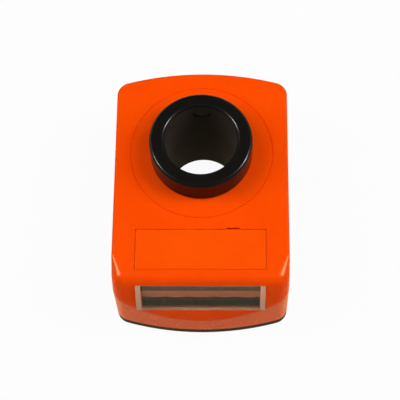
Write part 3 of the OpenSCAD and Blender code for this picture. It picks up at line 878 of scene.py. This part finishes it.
@dataclass
class BasePlate:
    """The black bottom cover with its shaft hole, pin socket and countersunk holes.

    head_gap is a distance that two screws always keep. below and above let a cut pass right through.
    """

    outline: Outline
    thickness: float = 3.0
    edge: float = 0.5
    bush_radius: float = 13.7
    pin_place: Pair = (0.0, -30.0)
    pin_radius: float = 3.0
    pin_depth: float = 5.0
    boss_radius: float = 4.6
    boss_foot: float = 1.0
    boss_top: float = 6.2
    screw_radius: float = 1.1
    head_radius: float = 2.1
    head_gap: float = 6.3
    below: float = -1.0
    above: float = 9.0

    def screw_places(self) -> list[Pair]:
        """Screw axes in plan, read from the screws of the frame.

        Returns:
            The axes in millimetres.
        """
        places = []
        for node in ("cover_screws", "frame_screws"):
            heads = [v.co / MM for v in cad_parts[node].data.vertices if v.co.z < NEAR * MM]
            groups: list[list[Vector]] = []
            for head in heads:
                near = next((g for g in groups if (g[0] - head).length < self.head_gap), None)
                if near is None:
                    groups.append([head])
                else:
                    near.append(head)
            for group in groups:
                xs, ys = [p.x for p in group], [p.y for p in group]
                places.append(((min(xs) + max(xs)) / 2, (min(ys) + max(ys)) / 2))
        return places

    def build(self) -> None:
        """Model the cover, cut its holes and dress it."""
        mesh = bmesh.new()
        self.outline.prism(mesh, 0.0, 0.0, self.thickness)
        body = Workshop.solid("base_cover", mesh)
        Workshop.soften(body, self._is_foot, self.edge, segments=3)
        boss = [(self.boss_foot, self.boss_radius), (self.boss_top, self.boss_radius)]
        Workshop.carve(body, [Workshop.drill("boss", self.pin_place, boss)], joined=True)
        screw = [(self.below, self.head_radius), (0.0, self.head_radius),
                 (self.head_radius - self.screw_radius, self.screw_radius), (self.above, self.screw_radius)]
        shaft = [(self.below, self.bush_radius), (self.above, self.bush_radius)]
        socket = [(self.below, self.pin_radius), (self.pin_depth, self.pin_radius)]
        holes = [Workshop.drill(f"screw_{i}", place, screw) for i, place in enumerate(self.screw_places())]
        holes.append(Workshop.drill("shaft_hole", (0, 0), shaft))
        holes.append(Workshop.drill("socket", self.pin_place, socket))
        Workshop.carve(body, holes)
        Workshop.deliver(body, BLACK, "black_base", "case", "base_plate")

    @staticmethod
    def _is_foot(edge: bmesh.types.BMEdge) -> bool:
        """Whether an edge runs round the underside."""
        return all(v.co.z < NEAR for v in edge.verts)


@dataclass
class HollowShaft:
    """The blackened shaft: bore, journal, ring groove and the collar with its grub screw hole."""

    bore: float = 10.0
    journal: float = 12.5
    collar: float = 14.1
    collar_z: float = 27.3
    top: float = 35.2
    chamfer: float = 0.6
    edge: float = 0.14
    ring_z: float = 19.3
    ring_t: float = 1.0
    ring_depth: float = 0.8
    grub_radius: float = 2.5
    grub_z: float = 31.25
    grub_reach: float = 20.0

    def build(self) -> None:
        """Turn the shaft, drill it and dress it."""
        groove = self.journal - self.ring_depth
        body = Workshop.turned("shaft_turned", [
            (self.bore, 0.0), (self.journal, 0.0), (self.journal, self.ring_z), (groove, self.ring_z),
            (groove, self.ring_z + self.ring_t), (self.journal, self.ring_z + self.ring_t),
            (self.journal, self.collar_z), (self.collar, self.collar_z),
            (self.collar, self.top - self.chamfer), (self.collar - self.chamfer, self.top),
            (self.bore + self.chamfer, self.top), (self.bore, self.top - self.chamfer)])
        levels = [(self.bore / 2, self.grub_radius), (self.grub_reach, self.grub_radius)]
        hole = Workshop.drill("grub_hole", (0, 0), levels)
        to_rear = Matrix.Rotation(-math.pi / 2, 4, "X")
        hole.data.transform(Matrix.Translation((0, 0, self.grub_z)) @ to_rear)
        Workshop.carve(body, [hole])
        Workshop.soften(body, self._is_rim, self.edge, segments=3)
        Workshop.deliver(body, BLACKENED, "blackened_steel", "shaft", "hollow_shaft")
        lit_bore = Workshop.add_finish(body, REAMED_LIT)
        # The bore's faces get the lighter finish, which paints light into the dim bore
        for face in body.data.polygons:
            middle = Vector(face.center).to_2d().length / MM
            if middle < self.bore + NEAR:
                face.material_index = lit_bore

    def _is_rim(self, edge: bmesh.types.BMEdge) -> bool:
        """Whether an edge runs round the collar's chamfers.

        Args:
            edge: Edge of the shaft.

        Returns:
            Whether it does.
        """
        a, b = (v.co for v in edge.verts)
        level = abs(a.z - b.z) < CLEAN and a.z > self.top - self.chamfer - NEAR
        return level and edge.calc_face_angle(0.0) > SHARP


@dataclass
class NumberPrint:
    """White digits round each number wheel, nought in the window at rest.

    left_rim and carry_ring are what the drum leaves at each side of a wheel, and the last wheel has no
    carry ring. slim_grow widens the digit one, which is narrower than digit_width.
    """

    slope: Slope
    axis_y: float = -28.2228
    axis_z: float = 15.3745
    radius: float = 8.5
    left_rim: float = 0.8
    carry_ring: float = 1.2
    digit_height: float = 2.8
    digit_width: float = 2.0
    slim_grow: float = 4.0
    digits: int = 10
    digit_turn: float = 36.0
    reading_turn: float = 21.4
    ink: float = 0.03
    rows: int = 6
    curve_steps: int = 4

    def build(self) -> None:
        """Print every wheel."""
        bodies = ("ten_thousands", "thousands", "hundreds", "tens", "units")
        for index, rides in enumerate(bodies, start=1):
            low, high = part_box(f"number_wheel_{index}")
            ring = 0.0 if index == len(bodies) else self.carry_ring
            middle = (low.x / MM + self.left_rim + high.x / MM - ring) / 2
            mesh = bmesh.new()
            for digit in range(self.digits):
                turn = math.radians(self.reading_turn - self.digit_turn * digit)
                self._digit(mesh, str(digit), middle, turn)
            body = Workshop.solid(f"digits_{index}", mesh)
            Workshop.deliver(body, INK, "wheel_black", rides)

    def _flat(self, text: str) -> bmesh.types.BMesh:
        """Flat digit about the origin.

        Args:
            text: The digit.

        Returns:
            Its mesh.
        """
        curve = bpy.data.curves.new("digit", "FONT")
        curve.body = text
        curve.resolution_u = self.curve_steps
        written = bpy.data.objects.new("digit", curve)
        data = bpy.data.meshes.new_from_object(written)
        bpy.data.objects.remove(written)
        bpy.data.curves.remove(curve)
        flat = bmesh.new()
        flat.from_mesh(data)
        bpy.data.meshes.remove(data)
        xs, ys = [v.co.x for v in flat.verts], [v.co.y for v in flat.verts]
        wide = self.slim_grow if text == "1" else self.digit_width / (max(xs) - min(xs))
        grow = Matrix.Diagonal((wide, self.digit_height / (max(ys) - min(ys)), 1.0, 1.0))
        centre = Matrix.Translation((-(min(xs) + max(xs)) / 2, -(min(ys) + max(ys)) / 2, 0.0))
        bmesh.ops.transform(flat, matrix=grow @ centre, verts=flat.verts)
        return flat

    def _digit(self, mesh: bmesh.types.BMesh, text: str, x: float, turn: float) -> None:
        """Wrap one digit on the drum.

        Args:
            mesh: Mesh to add to.
            text: The digit.
            x: Middle of the drum.
            turn: Turn about the wheel's axis from the slope's normal.
        """
        part = self._flat(text)
        for row in range(1, self.rows):
            level = self.digit_height * (row / self.rows - 0.5)
            Workshop.split(part, Vector((0.0, level, 0.0)), Vector((0.0, 1.0, 0.0)))
        bmesh.ops.solidify(part, geom=part.faces[:], thickness=self.ink)
        for v in part.verts:
            angle = turn - v.co.y / self.radius
            reach = self.radius + self.ink / 2 + v.co.z
            out = Matrix.Rotation(angle, 3, "X") @ self.slope.out * reach
            v.co = Vector((x + v.co.x, self.axis_y + out.y, self.axis_z + out.z))
        done = bpy.data.meshes.new("digit")
        part.to_mesh(done)
        part.free()
        mesh.from_mesh(done)
        bpy.data.meshes.remove(done)


class CarriedNodes:
    """Finishes of the CAD nodes that stay as they are."""

    finishes: dict[str, Finish] = {
        "cover_screws": STEEL, "frame_screws": STEEL, "retaining_ring": STEEL, "transfer_stud": STEEL,
        "idler_stud": STEEL, "wheel_axle": STEEL, "carry_axle": STEEL, "grub_screw": GRUB_LIT,
        "upper_bush": BRONZE, "lower_bush": BRONZE, "shaft_seal": RUBBER, "counter_frame": BLACK,
        "crown_gear": NATURAL, "transfer_gear": NATURAL, "idler_gear": NATURAL, "drive_gear": NATURAL,
        **{f"carry_pinion_{place}": NATURAL for place in range(1, 5)},
        **{f"number_wheel_{place}": WHEEL_BLACK for place in range(1, 5)},
        "number_wheel_5": WHEEL_RED,
    }

    def dress(self) -> None:
        """Give every CAD node that is still shown its finish."""
        for name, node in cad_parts.items():
            finish = self.finishes.get(name)
            if finish is None:
                continue
            node.data.materials.clear()
            node.data.materials.append(finish.material())
            LOG.info("%s keeps its solid, in %s", name, finish.name)


@dataclass(frozen=True)
class Lamp:
    """A soft rectangular lamp: place, aim and size in millimetres.

    One that is for gloss only makes highlights, and lights neither the colours nor what is behind glass.
    """

    name: str
    place: Triple
    aim: Triple
    size: Pair
    watts: float
    gloss_only: bool = False

    def hang(self) -> None:
        """Put the lamp in the scene and turn it to its aim."""
        data = bpy.data.lights.new(self.name, "AREA")
        data.shape = "RECTANGLE"
        data.size, data.size_y = (side * MM for side in self.size)
        data.energy = self.watts
        lamp = bpy.data.objects.new(self.name, data)
        bpy.context.scene.collection.objects.link(lamp)
        lamp.location = Vector(self.place) * MM
        lamp.rotation_euler = (Vector(self.place) - Vector(self.aim)).to_track_quat("Z", "Y").to_euler()
        lamp.visible_diffuse = not self.gloss_only
        lamp.visible_transmission = not self.gloss_only


@dataclass
class Studio:
    """Floor, soft lights and the camera at the photo's viewing angle.

    surround_levels are the strengths of the surround up to the first and from the second of
    surround_heights, and surround_share is what is left of them where the surround isn't seen. The floor
    glows by floor_glow where it is seen, and its glow has the colour gloss_warmth in the gloss.
    """

    target: Triple = (-0.577, -9.328, 15.0)
    elevation: float = 67.079
    yaw: float = 3.682
    roll: float = -3.383
    distance: float = 367.356
    lens: float = 116.86
    sensor: float = 36.0
    clip_start: float = 0.01
    surround_heights: Pair = (0.05, 0.45)
    surround_levels: Pair = (1.0, 0.06)
    surround_share: float = 0.3
    floor_half: float = 1500.0
    floor_cells: int = 8
    floor_z: float = -0.05
    floor_grey: float = 0.62
    floor_roughness: float = 0.9
    floor_glow: float = 0.95
    gloss_warmth: Triple = (1.0, 0.90, 0.50)
    lamps: tuple[Lamp, ...] = (
        Lamp("left_softbox", (-365.0, 5.0, 450.0), (0.0, -10.0, 15.0), (260.0, 480.0), 1.97),
        Lamp("left_glint", (-430.0, 0.0, 370.0), (0.0, -30.0, 15.0), (130.0, 210.0), 10.5, gloss_only=True),
        Lamp("right_softbox", (365.0, 5.0, 450.0), (0.0, -10.0, 15.0), (260.0, 480.0), 2.38),
        Lamp("right_glint", (430.0, 0.0, 370.0), (0.0, -30.0, 15.0), (130.0, 210.0), 10.5, gloss_only=True),
        Lamp("overhead", (0.0, -160.0, 600.0), (0.0, 0.0, 15.0), (300.0, 300.0), 0.35),
    )

    def build(self) -> None:
        """Set the view, the world, the floor, the lamps and the camera."""
        scene = bpy.context.scene
        scene.view_settings.view_transform = "Standard"
        self._world(scene)
        self._floor()
        for lamp in self.lamps:
            lamp.hang()
        self._camera(scene)

    def _world(self, scene: bpy.types.Scene) -> None:
        """Surround that is white at the horizon and dim overhead.

        Args:
            scene: Scene that gets the world.
        """
        world = bpy.data.worlds.new("surround")
        world.use_nodes = True
        nodes, links = world.node_tree.nodes, world.node_tree.links
        height = nodes.new("ShaderNodeSeparateXYZ")
        links.new(nodes.new("ShaderNodeTexCoord").outputs["Generated"], height.inputs["Vector"])
        level = nodes.new("ShaderNodeMapRange")
        level.interpolation_type = "SMOOTHSTEP"
        level.inputs["From Min"].default_value = self.surround_heights[0]
        level.inputs["From Max"].default_value = self.surround_heights[1]
        level.inputs["To Min"].default_value = self.surround_levels[0]
        level.inputs["To Max"].default_value = self.surround_levels[1]
        links.new(height.outputs["Z"], level.inputs["Value"])
        dimmed = nodes.new("ShaderNodeMapRange")
        dimmed.inputs["To Min"].default_value = self.surround_share
        links.new(self._seen(nodes, links), dimmed.inputs["Value"])
        share = nodes.new("ShaderNodeMath")
        share.operation = "MULTIPLY"
        links.new(level.outputs["Result"], share.inputs[0])
        links.new(dimmed.outputs["Result"], share.inputs[1])
        links.new(share.outputs["Value"], nodes["Background"].inputs["Strength"])
        nodes["Background"].inputs["Color"].default_value = (1.0, 1.0, 1.0, 1.0)
        scene.world = world

    @staticmethod
    def _seen(nodes: bpy.types.Nodes, links: bpy.types.NodeLinks) -> bpy.types.NodeSocket:
        """Whether the eye sees the background, straight or by way of gloss or glass.

        Args:
            nodes: Nodes of the material or world.
            links: Their links.

        Returns:
            The socket, 1 where it is seen.
        """
        path = nodes.new("ShaderNodeLightPath")
        found = path.outputs["Is Camera Ray"]
        for ray in ("Is Glossy Ray", "Is Transmission Ray"):
            either = nodes.new("ShaderNodeMath")
            either.operation = "MAXIMUM"
            links.new(found, either.inputs[0])
            links.new(path.outputs[ray], either.inputs[1])
            found = either.outputs["Value"]
        return found

    def _floor(self) -> None:
        """White sweep under the part, which keeps a faint shadow and is warm in the gloss."""
        mesh = bmesh.new()
        bmesh.ops.create_grid(mesh, x_segments=self.floor_cells, y_segments=self.floor_cells,
                              size=self.floor_half, matrix=Matrix.Translation((0, 0, self.floor_z)))
        floor = Workshop.solid("floor", mesh)
        floor.data.transform(Matrix.Scale(MM, 4))
        paint = bpy.data.materials.new("white_sweep")
        paint.use_nodes = True
        nodes, links = paint.node_tree.nodes, paint.node_tree.links
        shader = nodes["Principled BSDF"]
        shader.inputs["Base Color"].default_value = (self.floor_grey, self.floor_grey, self.floor_grey, 1.0)
        shader.inputs["Roughness"].default_value = self.floor_roughness
        glow = nodes.new("ShaderNodeEmission")
        warmth = nodes.new("ShaderNodeValToRGB")
        warmth.color_ramp.elements[0].color = (1.0, 1.0, 1.0, 1.0)
        warmth.color_ramp.elements[1].color = (*self.gloss_warmth, 1.0)
        links.new(nodes.new("ShaderNodeLightPath").outputs["Is Glossy Ray"], warmth.inputs["Fac"])
        links.new(warmth.outputs["Color"], glow.inputs["Color"])
        share = nodes.new("ShaderNodeMath")
        share.operation = "MULTIPLY"
        share.inputs[1].default_value = self.floor_glow
        links.new(self._seen(nodes, links), share.inputs[0])
        mix = nodes.new("ShaderNodeMixShader")
        links.new(share.outputs["Value"], mix.inputs["Fac"])
        links.new(shader.outputs["BSDF"], mix.inputs[1])
        links.new(glow.outputs["Emission"], mix.inputs[2])
        links.new(mix.outputs["Shader"], nodes["Material Output"].inputs["Surface"])
        floor.data.materials.append(paint)

    def _camera(self, scene: bpy.types.Scene) -> None:
        """Camera fitted to the photo.

        Args:
            scene: Scene that gets the camera.
        """
        e, y, roll = (math.radians(v) for v in (self.elevation, self.yaw, self.roll))
        back = Vector((math.sin(y) * math.cos(e), -math.cos(y) * math.cos(e), math.sin(e)))
        right = (-back).cross(Vector((0, 0, 1))).normalized()
        up = right.cross(-back)
        turned_right = right * math.cos(roll) + up * math.sin(roll)
        turned_up = up * math.cos(roll) - right * math.sin(roll)
        data = bpy.data.cameras.new("photo_camera")
        data.lens = self.lens
        data.sensor_width = self.sensor
        data.clip_start = self.clip_start
        camera = bpy.data.objects.new("photo_camera", data)
        scene.collection.objects.link(camera)
        place = Matrix.Translation((Vector(self.target) + back * self.distance) * MM)
        camera.matrix_world = place @ Matrix((turned_right, turned_up, back)).transposed().to_4x4()
        scene.camera = camera


def main() -> None:
    """Build the sub-assemblies in order."""
    logging.basicConfig(level=logging.INFO, format="%(relativeCreated)d ms %(message)s")
    outline, slope = Outline(), Slope()
    Studio().build()
    Housing(outline, Outline(front_corner=4.6), slope).build()
    NamePlate().build()
    lens = WindowLens(slope)
    lens.build()
    WindowMask(lens).build()
    BasePlate(outline).build()
    HollowShaft().build()
    NumberPrint(slope).build()
    CarriedNodes().dress()


if __name__ == "__main__":
    main()
